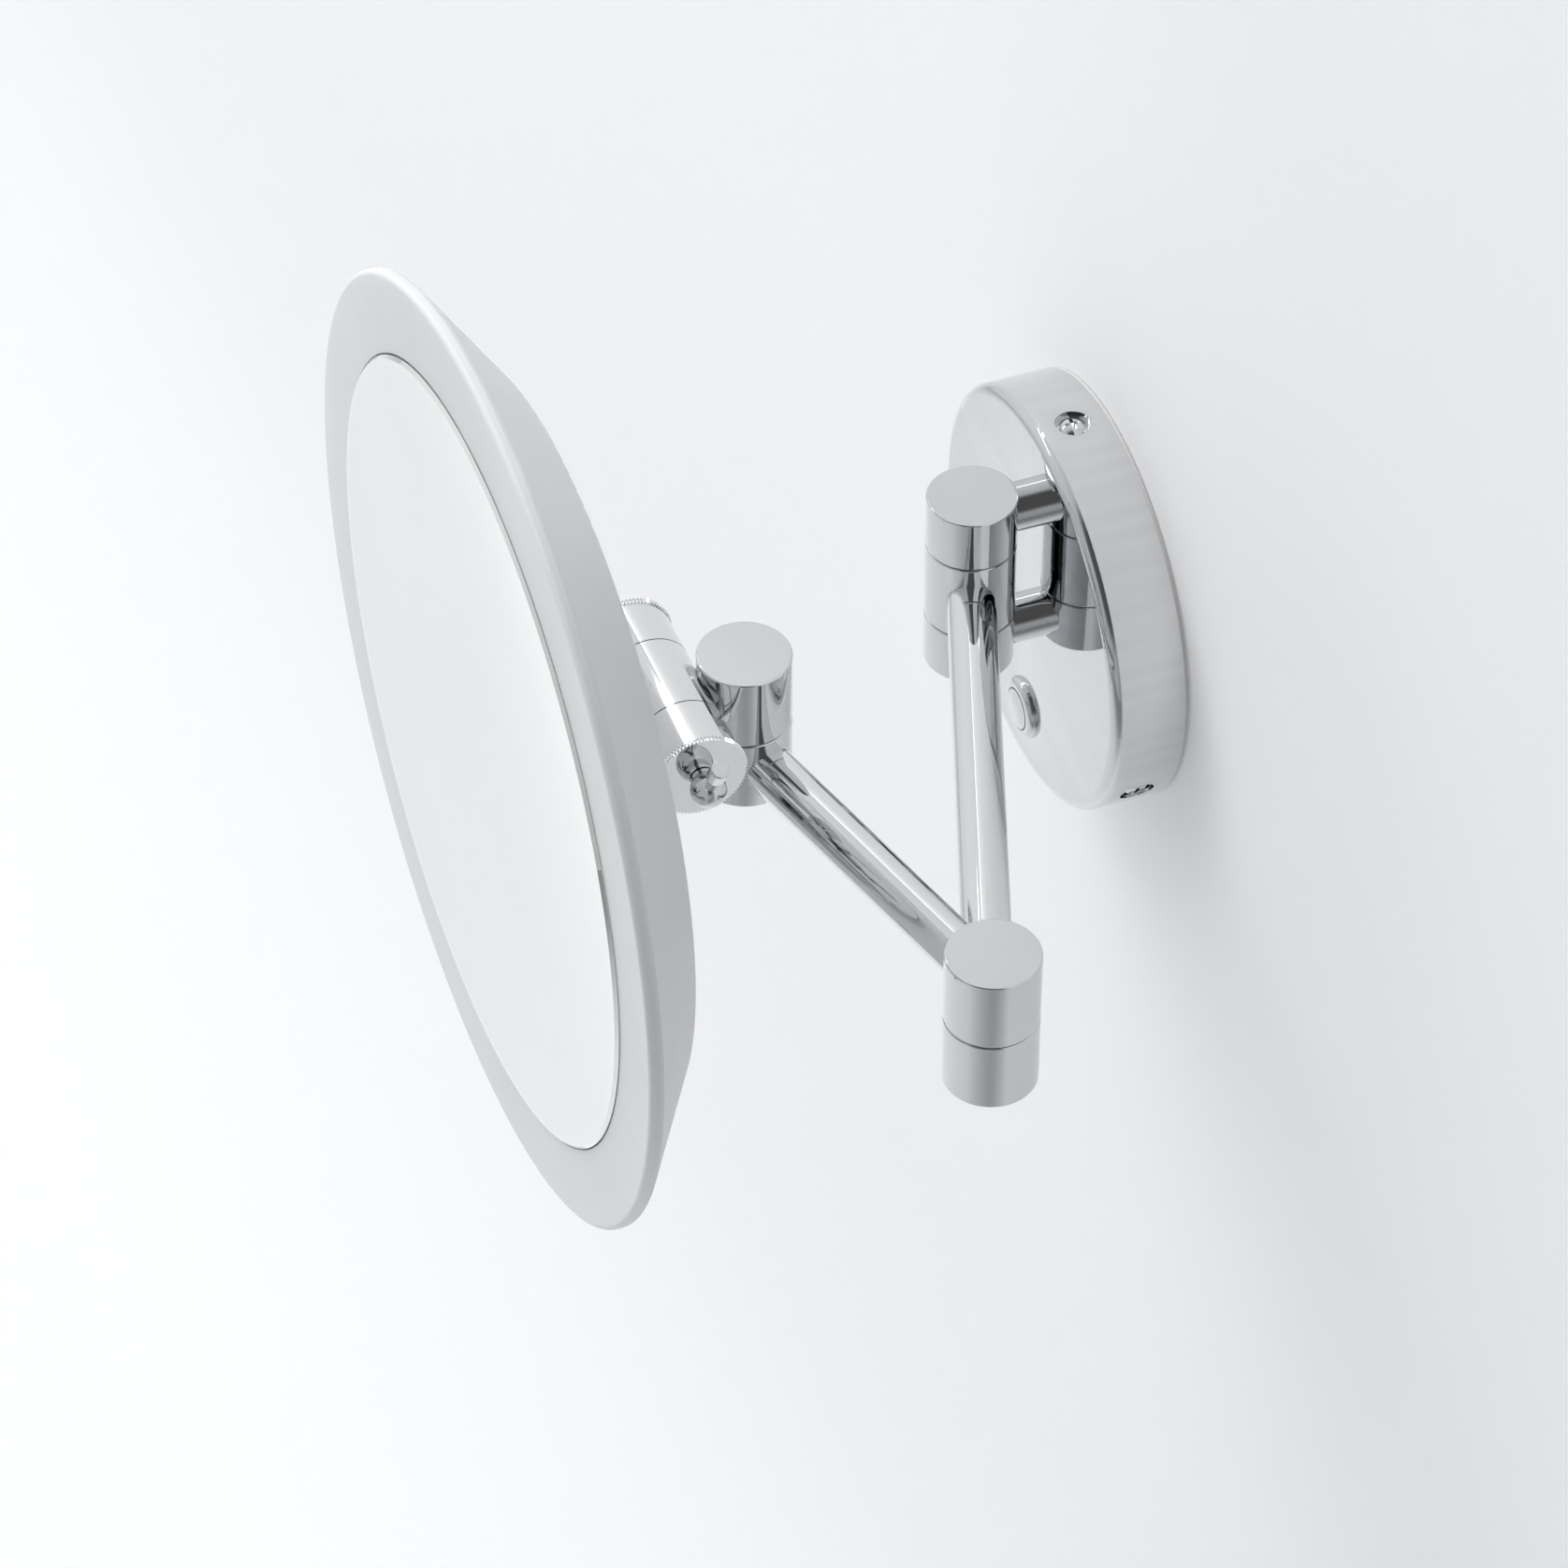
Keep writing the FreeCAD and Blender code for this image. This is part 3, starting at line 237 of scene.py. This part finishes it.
# %% [markdown]
# ## Satin acrylic
# The rim round the glass is one moulded ring of white acrylic with a satin skin. Light goes a few millimetres into
# it and comes out again, so its edges look softer and a little brighter than paint would. Subsurface scattering does
# that, and the fine satin comes from a medium roughness with a very fine bump.

# %% Satin acrylic
acrylic = surface_recipe(
    "satin_acrylic",
    colour=(0.80, 0.81, 0.82),
    worn=(0.86, 0.865, 0.87),
    metal=0.0,
    rough=(0.34, 0.42),
    scale=9,
    bump_depth=4e-6,
    bump_scale=900,
)
acrylic_tree = acrylic.node_tree
acrylic_shader = acrylic_tree.nodes["Principled BSDF"]
LIGHT_INTO_ACRYLIC = 0.004
acrylic_shader.inputs["Subsurface Weight"].default_value = 0.35
acrylic_shader.inputs["Subsurface Radius"].default_value = (1.0, 1.0, 1.0)
acrylic_shader.inputs["Subsurface Scale"].default_value = LIGHT_INTO_ACRYLIC
acrylic_shader.inputs["IOR"].default_value = 1.49
wear(acrylic, "diffuser_shell")

# %% Painted shade on the back of the acrylic
# the back of the shell is painted greyer than the front of the ring, a painted shade on the faces that turn towards
# the wall
BACK_PAINTED_SHADE = (0.78, 0.78, 0.785)
FRONT_ENDS, BACK_STARTS = -0.3, 0.5
facing = acrylic_tree.nodes.new("ShaderNodeTexCoord")
parts = acrylic_tree.nodes.new("ShaderNodeSeparateXYZ")
acrylic_tree.links.new(facing.outputs["Normal"], parts.inputs["Vector"])
# painted shade: faces turned towards the wall are multiplied down towards the grey
back = between(acrylic_tree, parts.outputs["Y"], 0, 1, FRONT_ENDS, BACK_STARTS)
front_colour = acrylic_shader.inputs["Base Color"].links[0].from_socket
painted_shade_colour = tint(acrylic_tree, back, front_colour, BACK_PAINTED_SHADE, "MULTIPLY")
acrylic_tree.links.new(painted_shade_colour, acrylic_shader.inputs["Base Color"])
print("acrylic tinted", BACK_PAINTED_SHADE, "towards the back")

# %% [markdown]
# ## Mirror glass
# A mirror is a sheet of clear glass, silvered at the back. Seen as a whole it behaves like one very smooth metal
# surface with a trace of green, so a metal shader is enough, with a barely visible film of wiping on it.

# %% Mirror glass
mirror = surface_recipe(
    "mirror_glass",
    colour=(0.86, 0.875, 0.87),
    worn=(0.91, 0.92, 0.915),
    metal=1.0,
    rough=(0.012, 0.03),
    scale=7,
    bump_depth=0.1e-6,
    bump_scale=60,
)
wear(mirror, "mirror_glass")

# %% [markdown]
# ## The glass itself
# The glass is slumped to a shallow bowl with a radius of one metre, which is what enlarges a face. A mirror shows
# every fault of a mesh, so this sheet is turned again here with many rings, like a pot on a wheel: a profile is drawn
# once and repeated round the middle. It has the measures of the frame's own glass and stands for it.

# %% The profile of the glass
CURVE, POLISHED_EDGE, FLAT_SEAT = 1.0, 0.0008, 0.0036
RINGS, TURNS = 24, 192
glass_low, glass_high = (Vector(corner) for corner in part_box("mirror_glass"))
middle = (glass_low + glass_high) / 2
glass_radius = (glass_high.x - glass_low.x) / 2


def bowl(radius):
    """How far the bowl rises from its middle to this radius."""
    return CURVE - math.sqrt(CURVE * CURVE - radius * radius)


def bowl_line(widest, middle_y):
    """The line of a bowl from near its middle out to its widest circle, as radius and depth."""
    reaches = [widest * step / RINGS for step in range(1, RINGS + 1)]
    return [(reach, middle_y - bowl(reach)) for reach in reaches]


front_radius, back_radius = glass_radius - POLISHED_EDGE, glass_radius - FLAT_SEAT
front_middle = glass_low.y + bowl(front_radius)
seat_y = glass_high.y - bowl(back_radius)
outline = bowl_line(front_radius, front_middle)
outline += [(glass_radius, glass_low.y + POLISHED_EDGE), (glass_radius, seat_y)]
outline += reversed(bowl_line(back_radius, glass_high.y))
print("profile of", len(outline), "points, edge", round((seat_y - glass_low.y) * 1000, 1), "mm thick")

# %% Turned glass
SHARPEST_CURVE = math.radians(20)
points = [(middle.x, front_middle, middle.z)]
for radius, y in outline:
    for turn_step in range(TURNS):
        angle = math.tau * turn_step / TURNS
        points.append((middle.x + radius * math.cos(angle), y, middle.z + radius * math.sin(angle)))
points.append((middle.x, glass_high.y, middle.z))
last_ring = 1 + (len(outline) - 1) * TURNS
faces = []
for turn_step in range(TURNS):
    after = (turn_step + 1) % TURNS
    faces.append((0, 1 + turn_step, 1 + after))
    for near in range(1, last_ring, TURNS):
        far = near + TURNS
        faces.append((near + turn_step, far + turn_step, far + after, near + after))
    faces.append((last_ring + turn_step, len(points) - 1, last_ring + after))
glass_mesh = bpy.data.meshes.new("slumped_glass")
glass_mesh.from_pydata(points, [], faces)
glass_mesh.update()
glass_mesh.polygons.foreach_set("use_smooth", [True] * len(faces))
glass_mesh.set_sharp_from_angle(angle=SHARPEST_CURVE)
glass_mesh.materials.append(mirror)
glass = bpy.data.objects.new("slumped_glass", glass_mesh)
bpy.context.scene.collection.objects.link(glass)
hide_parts("mirror_glass")
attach(glass, "mirror_head")
print("glass", round(glass_radius * 2000), "mm across, front looks along", glass_mesh.polygons[0].normal)

# %% [markdown]
# ## Workshop metals and plastics behind the chrome
# These pieces show only from behind, from below or in a gap: zinc-plated pressings, ground steel pins, bronze
# bushes, a painted back plate, black and grey plastics. They get honest finishes all the same, because the arm can be
# swung and looked at from anywhere. Brushed metal is the same recipe with its noise stretched along one direction.

# %% Hidden metals
zinc = surface_recipe(
    "zinc_plated_steel",
    colour=(0.50, 0.51, 0.53),
    worn=(0.66, 0.66, 0.66),
    metal=1.0,
    rough=(0.28, 0.42),
    scale=60,
    bump_depth=6e-6,
    bump_scale=700,
)
wear(
    zinc,
    "mounting_plate",
    "cover_stiffener",
    "bracket_screws",
    "bezel_nut",
    "head_rod_screws",
    "head_stiffener",
    "stiffener_screws",
    "back_screws",
    "elbow_disc_springs",
    "wrist_disc_springs",
)
ground = surface_recipe(
    "ground_steel",
    colour=(0.46, 0.46, 0.47),
    worn=(0.62, 0.62, 0.62),
    metal=1.0,
    rough=(0.16, 0.26),
    scale=120,
    bump_depth=2e-6,
    bump_scale=1500,
    stretch=(1, 1, 12),
)
wear(ground, "wall_hinge_pin", "elbow_pin", "wrist_pin", "yoke_stud", "tilt_shaft")
bronze = surface_recipe(
    "bush_bronze",
    colour=(0.42, 0.27, 0.11),
    worn=(0.60, 0.42, 0.20),
    metal=1.0,
    rough=(0.24, 0.36),
    scale=90,
    bump_depth=3e-6,
    bump_scale=900,
)
wear(bronze, "wall_bush", "elbow_bush", "wrist_bush", "tilt_bush")
drum_metal = surface_recipe(
    "spun_aluminium",
    colour=(0.66, 0.67, 0.68),
    worn=(0.78, 0.78, 0.79),
    metal=1.0,
    rough=(0.25, 0.38),
    scale=50,
    bump_depth=4e-6,
    bump_scale=500,
    stretch=(1, 1, 6),
)
wear(drum_metal, "carrier_drum")

# %% Hidden paints, plastics and rubber
paint = surface_recipe(
    "white_powder_paint",
    colour=(0.74, 0.75, 0.76),
    worn=(0.80, 0.80, 0.80),
    metal=0.0,
    rough=(0.30, 0.42),
    scale=30,
    bump_depth=20e-6,
    bump_scale=420,
)
wear(paint, "back_plate")
seam = surface_recipe(
    "black_slip_plastic",
    colour=(0.012, 0.012, 0.013),
    worn=(0.03, 0.03, 0.03),
    metal=0.0,
    rough=(0.45, 0.6),
    scale=200,
    bump_depth=5e-6,
    bump_scale=900,
)
wear(seam, "wall_seam_washers", "elbow_seam_washer", "wrist_seam_washer", "tilt_washers", "button_switch")
rubber = surface_recipe(
    "grey_rubber",
    colour=(0.045, 0.045, 0.048),
    worn=(0.07, 0.07, 0.07),
    metal=0.0,
    rough=(0.55, 0.75),
    scale=150,
    bump_depth=30e-6,
    bump_scale=600,
)
wear(rubber, "cable_grommet", "glass_pad")
silicone = surface_recipe(
    "white_silicone",
    colour=(0.62, 0.63, 0.64),
    worn=(0.68, 0.68, 0.68),
    metal=0.0,
    rough=(0.45, 0.6),
    scale=140,
    bump_depth=10e-6,
    bump_scale=500,
)
wear(silicone, "wall_seal")
case = surface_recipe(
    "white_case_plastic",
    colour=(0.72, 0.72, 0.70),
    worn=(0.78, 0.78, 0.77),
    metal=0.0,
    rough=(0.30, 0.45),
    scale=80,
    bump_depth=15e-6,
    bump_scale=900,
)
wear(case, "led_driver", "led_strip")
phosphor = surface_recipe(
    "led_phosphor",
    colour=(0.80, 0.68, 0.18),
    worn=(0.85, 0.78, 0.40),
    metal=0.0,
    rough=(0.18, 0.3),
    scale=300,
    bump_depth=10e-6,
    bump_scale=900,
)
wear(phosphor, "led_chips")

# %% [markdown]
# ## The wall and floor
# The mirror hangs on a wall, and a mirror shows what is in front of it, so the stage is one large pale sheet: a wall
# that runs down into a floor through a wide curve, like the paper sweep in a studio. It has no corner that could draw
# a line across the picture or in the chrome. It is painted darker towards the right, a painted shade, because chrome
# needs something darker to reflect on one side, or it looks like white plastic. The sheet has a round hole behind the
# mount, where the house wiring would come out, and it is clear when seen from behind, so the back of the mounting
# plate can be looked at too.

# %% The wall and its round hole
WALL_Y = 0.0006
WALL_LEFT, WALL_RIGHT, WALL_TOP = -5.0, 3.2, 3.5
BEND, DROP, FORWARD = 0.7, 1.25, 6.0
WALL_FOOT = BEND - DROP
HOLE_RADIUS, HOLE_STEPS = 0.052, 48
NEARLY_NONE = 1e-9
corners, panels = [], []


def wall_edge(angle):
    """Where a line from the mount at this angle leaves the flat part of the wall."""
    x, z = math.cos(angle), math.sin(angle)
    reaches = []
    if abs(x) > NEARLY_NONE:
        reaches.append((WALL_RIGHT if x > 0 else WALL_LEFT) / x)
    if abs(z) > NEARLY_NONE:
        reaches.append((WALL_TOP if z > 0 else WALL_FOOT) / z)
    reach = min(reaches)
    return x * reach, z * reach


wall_corners = [(x, z) for x in (WALL_LEFT, WALL_RIGHT) for z in (WALL_FOOT, WALL_TOP)]
angles = sorted(
    {round(math.tau * step / HOLE_STEPS, 6) for step in range(HOLE_STEPS)}
    | {round(math.atan2(z, x) % math.tau, 6) for x, z in wall_corners}
)
for angle in angles:
    edge_x, edge_z = wall_edge(angle)
    corners.append((HOLE_RADIUS * math.cos(angle), WALL_Y, HOLE_RADIUS * math.sin(angle)))
    corners.append((edge_x, WALL_Y, edge_z))
for index in range(len(angles)):
    after = (index + 1) % len(angles)
    panels.append((2 * index, 2 * index + 1, 2 * after + 1, 2 * after))
print("wall of", len(panels), "panels round a hole", round(HOLE_RADIUS * 2000), "mm across")

# %% The curve and the floor
CURVE_STEPS = 24
profile = [(WALL_Y, WALL_FOOT)]
for step in range(1, CURVE_STEPS + 1):
    angle = math.pi / 2 * step / CURVE_STEPS
    profile.append((WALL_Y - BEND * (1 - math.cos(angle)), WALL_FOOT - BEND * math.sin(angle)))
profile.append((-FORWARD, -DROP))
first = len(corners)
corners += [(x, y, z) for x in (WALL_LEFT, WALL_RIGHT) for y, z in profile]
for index in range(len(profile) - 1):
    low, high = first + index, first + index + len(profile)
    panels.append((low, low + 1, high + 1, high))
sweep_mesh = bpy.data.meshes.new("studio_sweep")
sweep_mesh.from_pydata(corners, [], panels)
sweep_mesh.update()
sweep_mesh.polygons.foreach_set("use_smooth", [True] * len(panels))
sweep = bpy.data.objects.new("studio_sweep", sweep_mesh)
bpy.context.scene.collection.objects.link(sweep)
print("wall faces", [round(value, 2) for value in sweep_mesh.polygons[0].normal])
print("floor faces", [round(value, 2) for value in sweep_mesh.polygons[-1].normal])

# %% [markdown]
# ## The paper
# The sheet is matt, and it glows a little, a painted light, as if it were also lit from behind. The glow is strongest
# along the curve and weakest on the floor. Both the colour and the glow fade to the right, a painted shade, and a
# colour ramp and two ranges, read from the place in the room, are enough for that.

# %% Matt paper, clear from behind
paper, paper_tree, paper_shader = new_finish("matt_paper")
PAPER_ROUGHNESS = 0.85
paper_shader.inputs["Roughness"].default_value = PAPER_ROUGHNESS
clear = paper_tree.nodes.new("ShaderNodeBsdfTransparent")
side = paper_tree.nodes.new("ShaderNodeNewGeometry")
choose = paper_tree.nodes.new("ShaderNodeMixShader")
paper_tree.links.new(side.outputs["Backfacing"], choose.inputs["Fac"])
paper_tree.links.new(paper_shader.outputs["BSDF"], choose.inputs[1])
paper_tree.links.new(clear.outputs["BSDF"], choose.inputs[2])
paper_tree.links.new(choose.outputs["Shader"], paper_tree.nodes["Material Output"].inputs["Surface"])
sweep_mesh.materials.append(paper)
print("paper on", sweep.name)

# %% The painted glow of the paper
PAINTED_GLOW_LOW, PAINTED_GLOW_HIGH = -1.25, -0.35
PAINTED_GLOWS = ((0.0, 0.06), (0.16, 0.16), (0.34, 0.19), (0.6, 0.17), (1.0, 0.125))
height = paper_tree.nodes.new("ShaderNodeTexCoord")
split = paper_tree.nodes.new("ShaderNodeSeparateXYZ")
paper_tree.links.new(height.outputs["Object"], split.inputs["Vector"])
# painted light: the paper glows, strongest along the curve and weakest on the floor
glow = paper_tree.nodes.new("ShaderNodeValToRGB")
stops(glow, PAINTED_GLOWS)
paper_tree.links.new(between(paper_tree, split.outputs["Z"], 0, 1, PAINTED_GLOW_LOW, PAINTED_GLOW_HIGH), glow.inputs["Fac"])
paper_tree.links.new(glow.outputs["Color"], paper_shader.inputs["Emission Color"])

# %% The painted shade on the right
SHADE_FROM, SHADE_TO = 0.45, 1.5
PAPER, PAINTED_SHADE_PAPER, SHADED_PAINTED_GLOW = (0.875, 0.88, 0.885), (0.46, 0.463, 0.466), 0.3
# painted shade: the paper's colour and its painted glow both darken towards the right
painted_shade_right = between(paper_tree, split.outputs["X"], 0, 1, SHADE_FROM, SHADE_TO)
paper_tree.links.new(tint(paper_tree, painted_shade_right, PAPER, PAINTED_SHADE_PAPER), paper_shader.inputs["Base Color"])
painted_glow_strength = between(paper_tree, split.outputs["X"], 1, SHADED_PAINTED_GLOW, SHADE_FROM, SHADE_TO)
paper_tree.links.new(painted_glow_strength, paper_shader.inputs["Emission Strength"])
print("paper from", PAPER, "to", PAINTED_SHADE_PAPER)

# %% [markdown]
# ## The room
# Chrome shows the room and hardly anything else, so the room is designed before the lights. It is a plain shell of
# light: brightest on the left and above, where the window of a bathroom would be, and dimmer down on the right. High
# on the right is an unlit doorway, which gives every round piece of chrome its black line. The shade only depends on
# the direction from the mirror to the room, and a dot product with the window's or the doorway's direction gives it.

# %% Room
WINDOW_WAY = (-0.85, -0.35, 0.40)
DOORWAY_WAY = (0.67, -0.26, 0.69)
SHADES = ((0.0, 0.30), (0.16, 0.50), (0.5, 0.50), (0.8, 0.66), (1.0, 0.90))
DOORWAY_SHADE, DOORWAY_EDGE, DOORWAY_MIDDLE = 0.10, 0.70, 0.92
world = bpy.data.worlds.new("pale_room")
world.use_nodes = True
world_tree = world.node_tree
background = world_tree.nodes["Background"]
direction = world_tree.nodes.new("ShaderNodeTexCoord")


def nearness(way, low, high):
    """How near a direction in the room is to this one, from 0 at the low cosine to 1 at the high one."""
    facing = world_tree.nodes.new("ShaderNodeVectorMath")
    facing.operation = "DOT_PRODUCT"
    facing.inputs[1].default_value = way
    world_tree.links.new(direction.outputs["Generated"], facing.inputs[0])
    spread = world_tree.nodes.new("ShaderNodeMapRange")
    spread.interpolation_type = "SMOOTHSTEP" if low > 0 else "LINEAR"
    spread.inputs["From Min"].default_value = low
    spread.inputs["From Max"].default_value = high
    world_tree.links.new(facing.outputs["Value"], spread.inputs["Value"])
    return spread.outputs["Result"]


ramp = world_tree.nodes.new("ShaderNodeValToRGB")
stops(ramp, SHADES)
world_tree.links.new(nearness(WINDOW_WAY, -1, 1), ramp.inputs["Fac"])
doorway = nearness(DOORWAY_WAY, DOORWAY_EDGE, DOORWAY_MIDDLE)
walls_and_doorway = tint(world_tree, doorway, ramp.outputs["Color"], [DOORWAY_SHADE] * 3)
world_tree.links.new(walls_and_doorway, background.inputs["Color"])
bpy.context.scene.world = world
print("room shades", SHADES)

# %% [markdown]
# ## Lights
# Two large soft boxes light the scene. The key hangs high on the left, close to the wall, and throws the long soft
# shadow of the mount. The front box fills. Both are kept out of the reflections, because a lamp as strong as that
# burns a white patch in chrome. What the chrome shows instead are two slim strip lights, which draw the thin white
# lines along the barrels and tubes.

# %% Soft boxes and strips
AIM = Vector((0.06, -0.1, 0.05))
# name, degrees round, degrees up, metres away, width and height in metres, watts, seen in the chrome
LAMPS = (
    ("key_soft_box", 250, 50, 2.4, 1.8, 1.8, 38, False),
    ("front_soft_box", 200, 25, 3.2, 2.4, 2.4, 9, False),
    ("strip_above", 274, 48, 2.2, 1.3, 0.07, 1.2, True),
    ("strip_front", 243, 40, 2.2, 1.3, 0.07, 1.2, True),
)


def lamp_at(name, around, up, distance, width, height, power, in_chrome):
    """An area light aimed at the mirror, at an angle round from the wall and up from level."""
    light = bpy.data.lights.new(name, "AREA")
    light.shape = "RECTANGLE"
    light.size = width
    light.size_y = height
    light.energy = power
    lamp = bpy.data.objects.new(name, light)
    bpy.context.scene.collection.objects.link(lamp)
    around, up = math.radians(around), math.radians(up)
    away = Vector((math.sin(around) * math.cos(up), math.cos(around) * math.cos(up), math.sin(up)))
    lamp.location = AIM + away * distance
    lamp.rotation_euler = away.to_track_quat("Z", "Y").to_euler()
    lamp.visible_glossy = in_chrome
    print(name, "at", [round(value, 2) for value in lamp.location])


for lamp_row in LAMPS:
    lamp_at(*lamp_row)

# %% [markdown]
# ## Picture settings
# The plain display transform keeps whites white.

# %% Finish
bpy.context.scene.view_settings.view_transform = "Standard"
bpy.context.scene.view_settings.look = "None"
bpy.context.view_layer.update()
